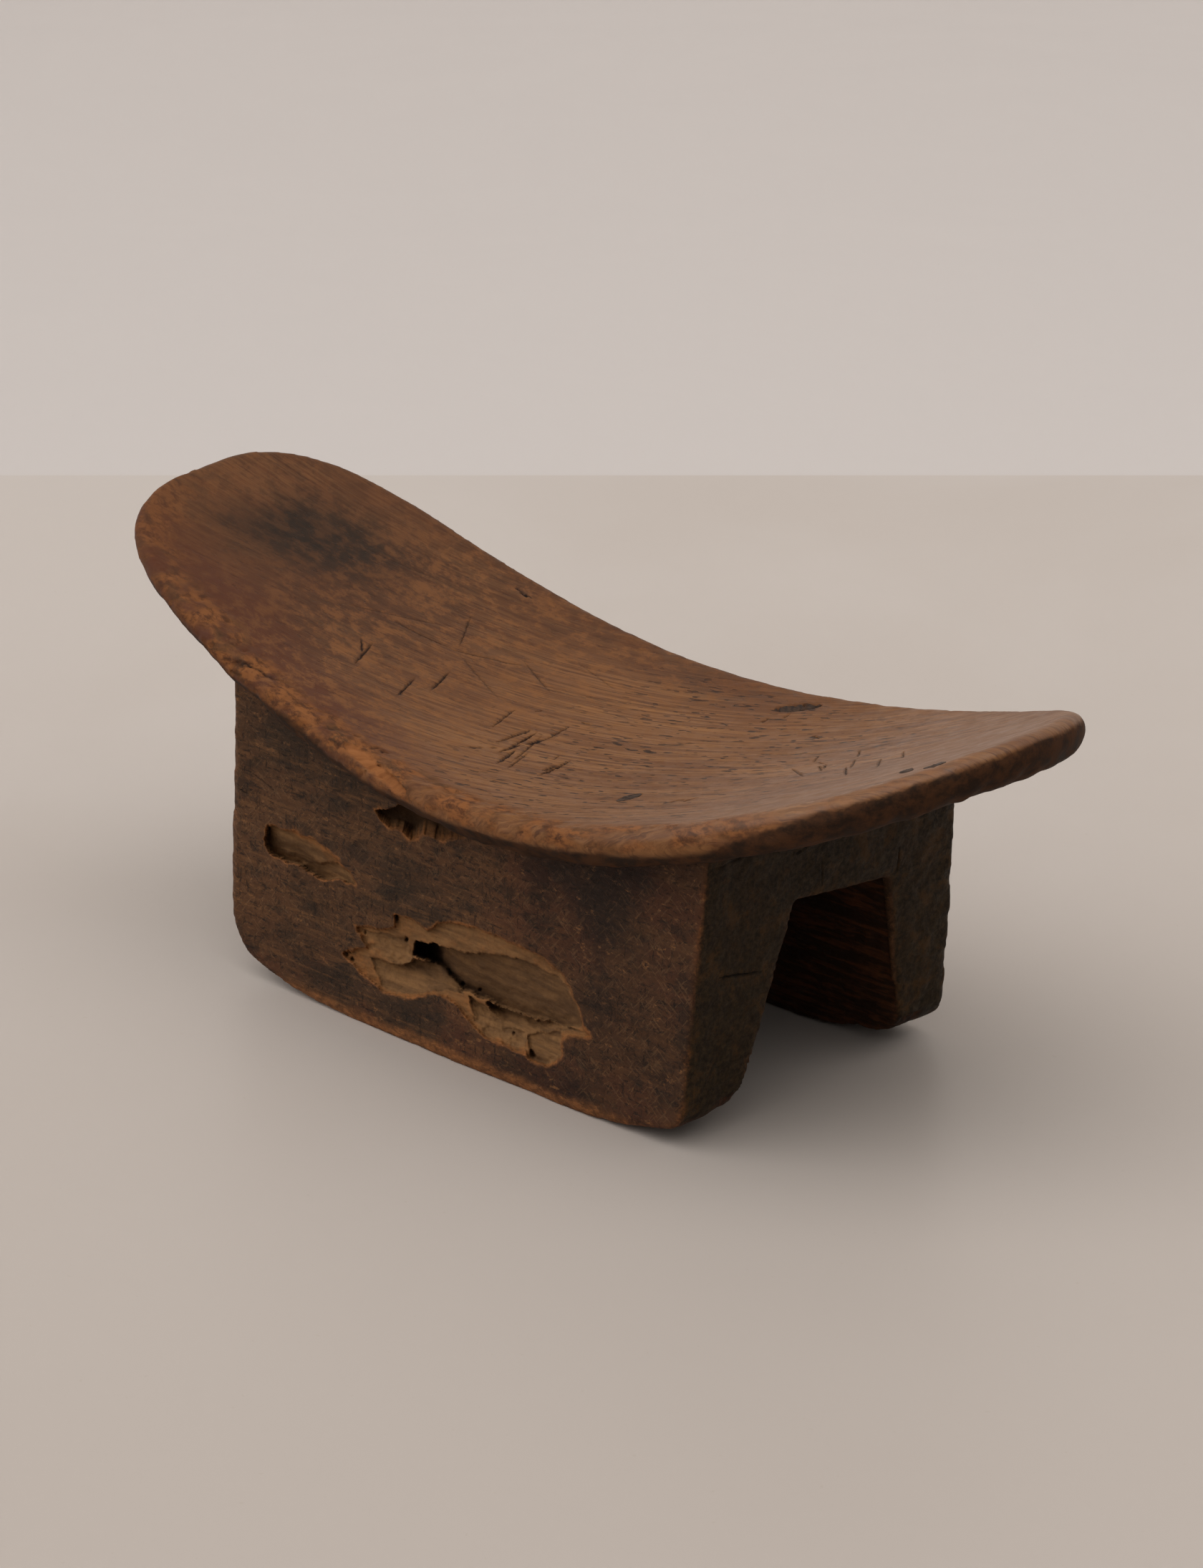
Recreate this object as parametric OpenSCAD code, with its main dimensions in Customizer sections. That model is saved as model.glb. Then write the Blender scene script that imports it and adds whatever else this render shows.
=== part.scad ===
// Carved wooden headrest: an oval saddle with raised ends on a block base
// that is hollowed lengthwise into two long panel legs.
// Millimetres. +X runs along the saddle, +Z is up, and the origin is on the
// floor under the middle of the saddle. The lower end of the saddle is at +X.

/* [Saddle] */
// Overall length of the saddle
saddle_l = 520; // [480:1:600]
// Half of the saddle's width over its middle
saddle_half_w = 107; // [100:1:130]
// Height of the rim over the middle of the base
rim_mid_h = 135; // [132:1:150]
// Height of the rim at the -X end
rim_left_h = 213; // [180:1:240]
// Height of the rim at the +X end
rim_right_h = 202; // [180:1:240]
// How much the rim's rise eases off towards the two ends
ease_off = 6; // [0:0.5:12]
// How much higher the -X end is on its near side than on its far side
twist = 7; // [0:0.5:10]
// How far the seat dips below the rim across the saddle
dish_depth = 7; // [2:0.5:12]
// Thickness of the rim over the middle
rim_t = 18; // [12:0.5:20]
// Thickness of the rim at the -X end
rim_t_left = 17; // [12:0.5:24]
// Thickness of the rim at the +X end
rim_t_right = 20; // [12:0.5:24]
// How far the rim's round nose reaches inwards
nose_r = 9; // [5:0.5:12]
// How far the underside swells below the rim
belly = 5; // [0:0.5:6]
// Squareness of the -X end's outline, where 2 is an ellipse
left_squareness = 3.1; // [2:0.1:4]
// Squareness of the +X end's outline
right_squareness = 1.95; // [1.8:0.05:3]
// Share by which the outline widens towards +X
widen = 0.24; // [0:0.01:0.3]
// Share by which both ends stay wide
flare = 0.2; // [0:0.01:0.25]

/* [Base] */
// Reach of the base towards +X at its top
base_right_top = 150; // [120:1:155]
// Reach of the base towards +X at the floor
base_right_foot = 146; // [135:1:160]
// Reach of the base towards -X at its top
base_left_top = 149; // [120:1:155]
// Reach of the base towards -X at the floor
base_left_foot = 155; // [135:1:160]
// Outer face of the near leg at the top
near_out_top = 83; // [70:1:85]
// Outer face of the near leg at the floor
near_out_foot = 91; // [75:1:100]
// Outer face of the far leg at the top
far_out_top = 81; // [70:1:85]
// Outer face of the far leg at the floor
far_out_foot = 85; // [75:1:100]
// Height at which the outer faces reach their top sizes
wall_h = 136; // [120:1:150]
// Height of the tops of the end faces, buried in the saddle
blank_h = 170; // [160:1:175]

/* [Tunnel] */
// Inner face of the near leg at the tunnel's ceiling
near_in_top = 24; // [15:1:40]
// Inner face of the near leg at the floor
near_in_foot = 58; // [30:1:65]
// Inner face of the far leg at the tunnel's ceiling
far_in_top = 40; // [15:1:50]
// Inner face of the far leg at the floor
far_in_foot = 55; // [30:1:65]
// Height of the ceiling over the near leg
ceiling_near = 101; // [80:1:103]
// Height of the ceiling over the far leg
ceiling_far = 93; // [75:1:103]

/* [Feet] */
// Half-length of the flat part of each sole
sole_half_l = 70; // [40:1:75]
// How far the sole rises at the -X end
sole_rise_left = 9; // [3:0.5:12]
// How far the sole rises at the +X end
sole_rise_right = 9.5; // [3:0.5:12]
// Radius of the worn corner at the -X end of each foot
toe_r_left = 24; // [8:1:26]
// Radius of the worn corner at the +X end of each foot
toe_r_right = 12; // [8:1:26]

/* [Knots] */
// Length of the large oval knot near the far rim
knot_far_l = 22; // [12:1:28]
// Width of the large oval knot
knot_far_w = 9.5; // [5:0.5:12]
// Length of the knot near the near rim
knot_near_l = 17; // [8:1:20]
// Width of the knot near the near rim
knot_near_w = 6; // [3:0.5:8]
// Length of the long knot on the +X rise
knot_end_l = 17; // [12:1:24]
// Width of the long knot on the +X rise
knot_end_w = 7; // [4:0.5:9]
// Length of the short knot on the +X rise
knot_rise_l = 12; // [8:1:16]
// Width of the short knot on the +X rise
knot_rise_w = 6; // [3:0.5:7]
// Height of the lowest point of each knot above the saddle's underside
knot_floor = 8; // [6:0.5:9]

/* [Hidden] */

half_l = saddle_l / 2;

// Mesh density of the saddle: points round its outline, and rings on each face
outline_n = 56;
top_fractions = [0.25, 0.45, 0.62, 0.76, 0.88];
nose_angles = [90, 60, 30, 0, -30, -60, -90];
under_fractions = [0.8, 0.55, 0.3];

// Points in one arc of a sole's profile
arc_n = 8;
// Where each knot sits on the seat, and how it lies
knot_far_at = [47, 89];
knot_far_turn = 38;
knot_near_at = [69, -47];
knot_near_turn = 95;
knot_end_at = [232, -35];
knot_end_turn = -25;
knot_rise_at = [211, -28];
knot_rise_turn = -38;
knot_n = 24;
// Longer than anything that has to be cut through
through = 600;

saddle_color = "#7a4f32";
base_color = "#3f2517";
knot_color = "#2b1810";

// ---- Saddle -------------------------------------------------------------

// A value that follows a parabola through its sizes at the -X end, the middle
// and the +X end
function three_point(x, left, middle, right) =
    middle + (right - left) / 2 * (x / half_l) + ((right + left) / 2 - middle) * pow(x / half_l, 2);
function ease_at(x) = ease_off * (pow(x / half_l, 2) - pow(x / half_l, 4));
function twist_at(x, y) = x > 0 ? 0 : twist / 2 * (y / saddle_half_w) * pow(x / half_l, 2);
function rim_z(x, y) = three_point(x, rim_left_h, rim_mid_h, rim_right_h) + ease_at(x) - twist_at(x, y);
function rim_thickness(x) = three_point(x, rim_t_left, rim_t, rim_t_right);

// Half-width of the outline at u, which runs from -1 to 1 along the saddle
function squareness(u) = u < 0 ? left_squareness : right_squareness;
function half_w_at(u) =
    let (n = squareness(u), body = pow(max(0, 1 - pow(abs(u), n)), 1 / n))
    saddle_half_w * body * (1 + widen * u + flare * u * u);

// One point of the outline, at angle t round the saddle
function outline_at(t) = [half_l * cos(t), (sin(t) < 0 ? -1 : 1) * half_w_at(cos(t))];

// A point of the outline moved in by a distance, then shrunk to a fraction
function inset(p, d, fraction) =
    [p[0] * (1 - d / half_l) * fraction, p[1] * (1 - d / saddle_half_w) * fraction];

function outline_point(i) = outline_at(360 * i / outline_n);

function top_point(i, fraction) =
    let (p = inset(outline_point(i), nose_r, fraction))
    [p[0], p[1], rim_z(p[0], p[1]) - dish_depth * (1 - fraction * fraction)];

function nose_point(i, a) =
    let (p = inset(outline_point(i), nose_r * (1 - cos(a)), 1), t = rim_thickness(p[0]))
    [p[0], p[1], rim_z(p[0], p[1]) - t / 2 + t / 2 * sin(a)];

function under_point(i, fraction) =
    let (p = inset(outline_point(i), nose_r, fraction))
    [p[0], p[1], rim_z(p[0], p[1]) - rim_thickness(p[0]) - belly * (1 - fraction * fraction)];

// A closed skin over rings that run from a top centre down to a bottom centre
module skin(rings, top, bottom) {
    last = (len(rings) - 1) * outline_n;
    top_centre = last + outline_n;
    bottom_centre = top_centre + 1;
    caps = [
        for (i = [0:outline_n - 1])
            let (j = (i + 1) % outline_n)
            each [[top_centre, j, i], [bottom_centre, last + i, last + j]]
    ];
    bands = [
        for (r = [0:len(rings) - 2], i = [0:outline_n - 1])
            let (
                j = (i + 1) % outline_n,
                a = r * outline_n + i,
                b = r * outline_n + j,
                c = a + outline_n,
                d = b + outline_n
            )
            each [[a, b, d], [a, d, c]]
    ];
    polyhedron(points = concat([for (ring = rings) each ring], [top, bottom]), faces = concat(caps, bands));
}

indices = [0:outline_n - 1];
under_rings = [for (f = under_fractions) [for (i = indices) under_point(i, f)]];
under_centre = [0, 0, rim_mid_h - rim_t - belly];

module saddle_blank() {
    top_rings = [for (f = top_fractions) [for (i = indices) top_point(i, f)]];
    nose_rings = [for (a = nose_angles) [for (i = indices) nose_point(i, a)]];
    skin(concat(top_rings, nose_rings, under_rings), [0, 0, rim_mid_h - dish_depth], under_centre);
}

// Everything from the saddle's underside up, to trim the base to it
module above_underside() {
    edge = [for (i = indices) nose_point(i, -90)];
    lid = [for (p = edge) [p[0], p[1], through]];
    skin(concat([lid, edge], under_rings), [0, 0, through], under_centre);
}

// ---- Base ---------------------------------------------------------------

// Points of an arc about a centre, from one angle to another
function arc(centre, r, from, to) =
    [for (k = [0:arc_n]) centre + r * [cos(from + (to - from) * k / arc_n), sin(from + (to - from) * k / arc_n)]];

// A sole's rise from its flat part to its toe: a wide arc tangent to the floor,
// then the worn corner. It is drawn for the +X end.
function toe(reach, rise, r) =
    let (
        run = reach - r - sole_half_l,
        sweep_r = (run * run + rise * rise) / (2 * rise),
        slope = asin(run / sweep_r)
    )
    concat(
        arc([sole_half_l, sweep_r], sweep_r, -90, -90 + slope),
        arc([sole_half_l, sweep_r] + (sweep_r - r) * [sin(slope), -cos(slope)], r, -90 + slope, 0)
    );

function flip_x(points) = [for (k = [len(points) - 1:-1:0]) [-points[k][0], points[k][1]]];

// The base seen from the near side: soles, worn toes and sloping end faces
module side_profile() {
    polygon(concat(
        toe(base_right_foot, sole_rise_right, toe_r_right),
        [[base_right_top, wall_h], [base_right_top, blank_h], [-base_left_top, blank_h], [-base_left_top, wall_h]],
        flip_x(toe(base_left_foot, sole_rise_left, toe_r_left))
    ));
}

// Outer and inner faces of the legs at a height
function near_out(z) = -near_out_foot + (near_out_foot - near_out_top) * z / wall_h;
function far_out(z) = far_out_foot - (far_out_foot - far_out_top) * z / wall_h;

module near_leg_section() {
    polygon([
        [-near_out_foot, 0],
        [-near_in_foot, 0],
        [-near_in_top, ceiling_near],
        [near_out(ceiling_near), ceiling_near]
    ]);
}

module far_leg_section() {
    polygon([
        [far_in_foot, 0],
        [far_out_foot, 0],
        [far_out(ceiling_far), ceiling_far],
        [far_in_top, ceiling_far]
    ]);
}

module bridge_section() {
    polygon([
        [near_out(ceiling_near), ceiling_near],
        [-near_in_top, ceiling_near],
        [far_in_top, ceiling_far],
        [far_out(ceiling_far), ceiling_far],
        [far_out_top, wall_h],
        [far_out_top, blank_h],
        [-near_out_top, blank_h],
        [-near_out_top, wall_h]
    ]);
}

// A section across the base, run the length of the base and trimmed to its side
module along_base() {
    intersection() {
        translate([-through / 2, 0, 0])
            rotate([90, 0, 90])
                linear_extrude(through)
                    children();
        translate([0, through / 2, 0])
            rotate([90, 0, 0])
                linear_extrude(through)
                    side_profile();
    }
}

// ---- Knots --------------------------------------------------------------

function oval(l, w) = [for (k = [0:knot_n - 1]) [l / 2 * cos(360 * k / knot_n), w / 2 * sin(360 * k / knot_n)]];

// A knot's column, from a little above the underside to clear of the seat
module knot_column(at, turn, l, w) {
    floor_z = rim_z(at[0], at[1]) - rim_thickness(at[0]) - belly + knot_floor;
    translate([at[0], at[1], floor_z])
        rotate([0, 0, turn])
            linear_extrude(through)
                polygon(oval(l, w));
}

module far_column() {
    knot_column(knot_far_at, knot_far_turn, knot_far_l, knot_far_w);
}

module near_column() {
    knot_column(knot_near_at, knot_near_turn, knot_near_l, knot_near_w);
}

module end_column() {
    knot_column(knot_end_at, knot_end_turn, knot_end_l, knot_end_w);
}

module rise_column() {
    knot_column(knot_rise_at, knot_rise_turn, knot_rise_l, knot_rise_w);
}

// ---- Sub-parts ----------------------------------------------------------

module saddle() {
    color(saddle_color)
        difference() {
            saddle_blank();
            far_column();
            near_column();
            end_column();
            rise_column();
        }
}

module bridge() {
    color(base_color)
        difference() {
            along_base() bridge_section();
            above_underside();
        }
}

module near_leg() {
    color(base_color)
        along_base() near_leg_section();
}

module far_leg() {
    color(base_color)
        along_base() far_leg_section();
}

module knot_far() {
    color(knot_color)
        intersection() {
            saddle_blank();
            far_column();
        }
}

module knot_near() {
    color(knot_color)
        intersection() {
            saddle_blank();
            near_column();
        }
}

module knot_end() {
    color(knot_color)
        intersection() {
            saddle_blank();
            end_column();
        }
}

module knot_rise() {
    color(knot_color)
        intersection() {
            saddle_blank();
            rise_column();
        }
}

saddle();
bridge();
near_leg();
far_leg();
knot_far();
knot_near();
knot_end();
knot_rise();
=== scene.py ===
import math

import bmesh
import bpy
import numpy as np
from mathutils import Matrix, Vector
from mathutils.kdtree import KDTree


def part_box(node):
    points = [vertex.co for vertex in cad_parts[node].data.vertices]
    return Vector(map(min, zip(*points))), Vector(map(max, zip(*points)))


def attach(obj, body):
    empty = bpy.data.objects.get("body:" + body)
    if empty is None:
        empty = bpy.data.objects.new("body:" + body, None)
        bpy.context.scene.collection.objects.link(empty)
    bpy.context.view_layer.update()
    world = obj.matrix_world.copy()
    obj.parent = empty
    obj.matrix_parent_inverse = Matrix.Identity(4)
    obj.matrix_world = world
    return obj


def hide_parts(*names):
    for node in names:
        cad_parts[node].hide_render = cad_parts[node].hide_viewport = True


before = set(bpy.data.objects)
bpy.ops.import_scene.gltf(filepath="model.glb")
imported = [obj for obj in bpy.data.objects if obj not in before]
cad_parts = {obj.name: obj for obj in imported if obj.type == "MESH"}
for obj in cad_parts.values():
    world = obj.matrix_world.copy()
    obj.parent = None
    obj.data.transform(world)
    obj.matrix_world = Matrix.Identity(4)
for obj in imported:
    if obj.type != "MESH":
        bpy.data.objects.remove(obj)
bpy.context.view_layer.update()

MM = 0.001

# ---- Sizes ----------------------------------------------------------------

SADDLE_VOXEL = 1.85
BASE_VOXEL = 1.2
MARK_CUTS = 2

# The saddle's rule, as the CAD model has it
HALF_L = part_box("saddle")[1].x / MM
HALF_W = 107
RIM_MID, RIM_LEFT, RIM_RIGHT = 135, 213, 202
EASE_OFF = 6
TWIST = 7
DISH = 7
RIM_T, RIM_T_LEFT, RIM_T_RIGHT = 18, 17, 20
NOSE_R = 9
NOSE_IN, NOSE_HIGH, BEVEL_IN = 5, 0.5, 9
BELLY = 5
SQUARE_LEFT, SQUARE_RIGHT = 3.1, 1.95
WIDEN, FLARE = 0.24, 0.2

# Where the legs part from the bridge: just under each side's ceiling
LEG_OVERLAP = 1.5
NEAR_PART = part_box("near_leg")[1].z / MM - LEG_OVERLAP
FAR_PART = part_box("far_leg")[1].z / MM - LEG_OVERLAP
TUNNEL_NEAR_Y, TUNNEL_FAR_Y = -15, 30
# The space that the tunnel keeps within, and where the outer faces begin
TUNNEL_FOOT_NEAR_Y, TUNNEL_FOOT_FAR_Y = -60, 62
TUNNEL_TOP_Z, TUNNEL_HALF_L = 104, 142
NEAR_FACE_Y, FAR_FACE_Y, END_FACE_X = -70, 70, 130
# Passes of smoothing that round the base's edges, and that show which edges stand
# proud, for a skin of 1 mm squares
EDGE_ROUNDING, EDGE_BLUR = 8, 45
# The way that decay runs in from the near face, for each millimetre of depth
DECAY_RUN = (-0.97, 1, -0.53)
# The high end's skew, as a share of y, and its near corner's droop
END_SKEW, END_DROOP = 0.06, 7
# Stands for a place that is well outside every outline
OUTSIDE = -99.0


# ---- Numbers that follow a rule -------------------------------------------

def mix(a, b, t):
    return a + (b - a) * t


def smoothstep(low, high, value):
    t = np.clip((value - low) / (high - low), 0, 1)
    return t * t * (3 - 2 * t)


def bump(value, centre, width):
    """1 at the centre, falling smoothly to 0 at width either side."""
    return smoothstep(width, 0, np.abs(value - centre))


GRADIENTS = np.random.default_rng(7).normal(size=(256, 3))
GRADIENTS /= np.linalg.norm(GRADIENTS, axis=1)[:, None]


def noise(points, size, seed):
    """Smooth noise, about -1 to 1, whose lumps are size across. size may differ by axis."""
    q = points / np.asarray(size, float)
    cell = np.floor(q).astype(np.int64)
    part = q - cell
    ease = part * part * part * (part * (part * 6 - 15) + 10)
    total = np.zeros(len(q))
    for corner in np.ndindex(2, 2, 2):
        spot = cell + corner
        mixed = spot[:, 0] * 73856093 ^ spot[:, 1] * 19349663 ^ spot[:, 2] * 83492791 ^ seed * 2654435761
        mixed = (mixed ^ (mixed >> 13)) * 1274126177
        slope = GRADIENTS[(mixed ^ (mixed >> 16)) & 255]
        share = np.prod(np.where(corner, ease, 1 - ease), axis=1)
        total += share * ((part - corner) * slope).sum(1)
    return total * 1.7


def layered(points, size, seed, layers=4, fade=0.5):
    """Noise with finer noise on top of it."""
    total, height, size = 0, 1, np.asarray(size, float)
    for layer in range(layers):
        total = total + height * noise(points, size, seed + layer)
        height *= fade
        size = size / 2
    return total


def to_line(q, line):
    """Distance from each 2-D point to a line of points, and how far along it the nearest spot is."""
    line = np.asarray(line, float)
    steps = np.diff(line, axis=0)
    lengths = np.linalg.norm(steps, axis=1)
    starts = np.concatenate([[0], np.cumsum(lengths)])
    best, along = np.full(len(q), 1e9), np.zeros(len(q))
    for a, step, length, start in zip(line, steps, lengths, starts):
        t = np.clip(((q - a) @ step) / (length * length), 0, 1)
        away = np.linalg.norm(q - a - t[:, None] * step, axis=1)
        near = away < best
        best[near] = away[near]
        along[near] = start + t[near] * length
    return best, along / starts[-1]


def inside_by(q, outline):
    """How far each 2-D point is inside a closed outline. Outside counts as negative."""
    ring = np.asarray(list(outline) + [outline[0]], float)
    away, _ = to_line(q, ring)
    crossings = np.zeros(len(q), int)
    for a, b in zip(ring[:-1], ring[1:]):
        spans = (a[1] > q[:, 1]) != (b[1] > q[:, 1])
        rise = b[1] - a[1] if b[1] != a[1] else 1e-9
        crossings += spans & (q[:, 0] < a[0] + (q[:, 1] - a[1]) / rise * (b[0] - a[0]))
    return np.where(crossings % 2 == 1, away, -away)


# ---- The saddle's surface -------------------------------------------------

def three_point(x, left, middle, right):
    u = x / HALF_L
    return middle + (right - left) / 2 * u + ((right + left) / 2 - middle) * u * u


def rim_z(x, y):
    u = x / HALF_L
    eased = EASE_OFF * (u**2 - u**4)
    twisted = np.where(x > 0, 0, TWIST / 2 * (y / HALF_W) * u * u)
    return three_point(x, RIM_LEFT, RIM_MID, RIM_RIGHT) + eased - twisted


def rim_thickness(x):
    return three_point(x, RIM_T_LEFT, RIM_T, RIM_T_RIGHT)


def squareness(x):
    return np.where(x < 0, SQUARE_LEFT, SQUARE_RIGHT)


def widened(x):
    u = x / HALF_L
    return HALF_W * (1 + WIDEN * u + FLARE * u * u)


def half_width(x):
    n = squareness(x)
    return widened(x) * np.clip(1 - np.abs(x / HALF_L) ** n, 0, 1) ** (1 / n)


def outwardness(x, y):
    """0 on the saddle's middle, 1 on its outline."""
    n = squareness(x)
    return (np.abs(x / HALF_L) ** n + np.abs(y / widened(x)) ** n) ** (1 / n)


# ---- Meshes from numbers --------------------------------------------------

def make_object(name, mesh):
    obj = bpy.data.objects.new(name, mesh)
    bpy.context.collection.objects.link(obj)
    return obj


def coords(mesh):
    flat = np.empty(len(mesh.vertices) * 3)
    mesh.vertices.foreach_get("co", flat)
    return flat.reshape(-1, 3) / MM


def set_coords(mesh, points):
    mesh.vertices.foreach_set("co", (points * MM).ravel())
    mesh.update()


def normals(mesh):
    flat = np.empty(len(mesh.vertices) * 3)
    mesh.vertex_normals.foreach_get("vector", flat)
    return flat.reshape(-1, 3)


def edge_pairs(mesh):
    flat = np.empty(len(mesh.edges) * 2, int)
    mesh.edges.foreach_get("vertices", flat)
    return flat.reshape(-1, 2)


def relax(points, pairs, passes, factor=0.5):
    """Points drawn towards their neighbours' average."""
    n = len(points)
    count = np.bincount(pairs.ravel(), minlength=n)[:, None]
    a, b = pairs.T
    for _ in range(passes):
        columns = [np.bincount(a, points[b, k], n) + np.bincount(b, points[a, k], n) for k in range(3)]
        total = np.stack(columns, 1)
        points = points + factor * (total / count - points)
    return points


def even_skin(mesh, name, voxel):
    """The same closed shape, remade as small even squares."""
    rough = make_object(name + "_rough", mesh)
    remesh = rough.modifiers.new("skin", "REMESH")
    remesh.mode = "VOXEL"
    remesh.voxel_size = voxel * MM
    made = rough.evaluated_get(bpy.context.evaluated_depsgraph_get())
    skin = bpy.data.meshes.new_from_object(made)
    skin.name = name
    bpy.data.objects.remove(rough)
    bpy.data.meshes.remove(mesh)
    return skin


def refine(mesh, close_to, cuts):
    """Splits the faces whose corners are all marked in close_to."""
    work = bmesh.new()
    work.from_mesh(mesh)
    work.verts.ensure_lookup_table()
    edges = [e for e in work.edges if close_to[e.verts[0].index] and close_to[e.verts[1].index]]
    bmesh.ops.subdivide_edges(work, edges=edges, cuts=cuts, use_grid_fill=True)
    work.to_mesh(mesh)
    work.free()
    mesh.update()


def keep(mesh, name, values):
    """Stores one number per point, for the materials to read."""
    layer = mesh.attributes.get(name) or mesh.attributes.new(name, "FLOAT", "POINT")
    layer.data.foreach_set("value", np.clip(values, 0, 1).astype(np.float32))


def finish_piece(name, mesh, nodes, material):
    mesh.shade_smooth()
    mesh.materials.clear()
    mesh.materials.append(material)
    obj = make_object(name, mesh)
    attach(obj, "root")
    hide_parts(*nodes)
    return obj


# ---- Marks cut into the wood ----------------------------------------------

def groove(points, q, marks):
    """Depth at each point of straight V cuts. A mark is its two ends, its half-width and its depth."""
    depth = np.zeros(len(points))
    for x0, y0, x1, y1, half, deep in marks:
        ragged = q + 0.25 * np.stack([noise(points, 3, 41), noise(points, 3, 42)], 1)
        away, along = to_line(ragged, [(x0, y0), (x1, y1)])
        taper = np.clip(np.minimum(along, 1 - along) * 4, 0.2, 1)
        depth = np.maximum(depth, deep * taper * np.clip(1 - away / (half * taper), 0, 1))
    return depth


def near_marks(q, marks, room):
    """True for the points within room of any mark."""
    close = np.zeros(len(q), bool)
    for x0, y0, x1, y1, *_ in marks:
        close |= to_line(q, [(x0, y0), (x1, y1)])[0] < room
    return close


# Knife cuts on the seat, seen from above: both ends, half-width, depth.
# A fan of deep ones crosses the middle, and lighter ones lie to either side.
SEAT_CUTS = [
    (-42, -24, -51, 4, 0.5, 0.9),
    (-29, -35, -31, -4, 0.6, 1.2),
    (-19, -41, -22, -32, 0.5, 0.8),
    (-20, -36, -27, -7, 0.7, 1.5),
    (-20, -37, -21, -24, 1, 1.8),
    (-9, -52, -18, -30, 0.9, 1.6),
    (-7, -45, -24, -6, 0.5, 1.0),
    (-1, -54, -13, -26, 0.5, 1.0),
    (-20, -23, -19, -10, 1.1, 1.9),
    (-18, -13, -22, 11, 0.5, 0.9),
    (14, -49, 7, -19, 0.8, 1.6),
    (10, -42, 8, -30, 0.9, 1.6),
    (-32, -48, -27, -41, 0.8, 1.3),
    (-26, -39, -24, -36, 0.8, 0.9),
    (-44, 7, -42, 11, 0.5, 0.6),
    (-23, 16, -16, 17, 0.5, 0.8),
    (2, -27, -1, -19, 0.4, 0.6),
    (-116, -39, -127, -16, 0.7, 1.1),
    (-132, -19, -122, -28, 0.8, 1.0),
    (-86, -41, -96, -18, 0.7, 1.1),
    (-83, -22, -92, 0, 0.8, 1.1),
    (-125, 47, -105, 18, 0.5, 0.6),
    (105, 38, 113, 25, 0.5, 0.7),
    (106, 18, 130, 0, 0.6, 0.9),
    (111, 28, 122, 23, 0.5, 0.8),
    (122, 23, 129, 14, 0.6, 0.9),
    (119, 22, 132, 9, 0.6, 0.9),
    (123, 45, 132, 33, 0.6, 0.9),
    (134, 29, 146, 12, 0.6, 1.0),
    (140, 16, 157, -4, 0.7, 1.0),
    (148, 30, 166, 6, 0.6, 0.9),
    (154, 38, 166, 23, 0.6, 0.8),
    (79, 62, 87, 60, 0.6, 0.8),
    (94, -49, 97, -40, 0.8, 1.4),
    (98, -46, 101, -36, 0.6, 1.0),
    (43, 67, 44, 74, 0.5, 0.7),
    (50, 75, 49, 82, 0.5, 0.7),
    (-130, 80, -118, 81, 0.8, 2.5),
    (-146, 89, -141, 90, 0.8, 2.0),
]
# Long light scratches
SEAT_SCRATCHES = [
    (-141, 4, -104, 16, 0.6, 0.4),
    (-112, 11, -73, 39, 0.6, 0.4),
    (-85, 40, -50, 26, 0.6, 0.45),
    (-104, 16, -60, 2, 0.6, 0.35),
    (-160, -12, -120, 30, 0.5, 0.3),
    (60, 30, 118, 44, 0.5, 0.25),
    (-190, 30, -150, 52, 0.5, 0.3),
    (-70, 60, -30, 52, 0.5, 0.25),
]

# A jagged split beside the near rim, and pits there: x, y, radius
RIM_CRACK = [(-144, -100), (-138, -94), (-129, -91), (-118, -86), (-107, -80)]
RIM_PITS = [(-73, -93, 2.8), (-49, -90, 2.2), (-44, -89, 1.8), (-90, -83, 1.2), (-62, -88, 1.3)]

# Knots: centre, length, width, turn in degrees, and how far each has sunk
KNOTS = {
    "knot_far": (47, 89, 22, 9.5, 38, 3.2),
    "knot_near": (69, -47, 17, 6, 95, 0.8),
    "knot_end": (232, -35, 17, 7, -25, 0.15),
    "knot_rise": (211, -28, 12, 6, -38, 0.15),
}


def knot_inside(q, name):
    """1 at a knot's middle, 0 at its outline and below 0 outside it."""
    x, y, length, width, turn, _ = KNOTS[name]
    c, s = math.cos(math.radians(turn)), math.sin(math.radians(turn))
    a = ((q[:, 0] - x) * c + (q[:, 1] - y) * s) / (length / 2)
    b = ((q[:, 1] - y) * c - (q[:, 0] - x) * s) / (width / 2)
    return 1 - np.hypot(a, b)


# ---- Saddle ---------------------------------------------------------------

OUTLINE_N = 360
TOP_STEPS, NOSE_STEPS, BEVEL_STEPS, UNDER_STEPS = 24, 8, 10, 12


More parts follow.
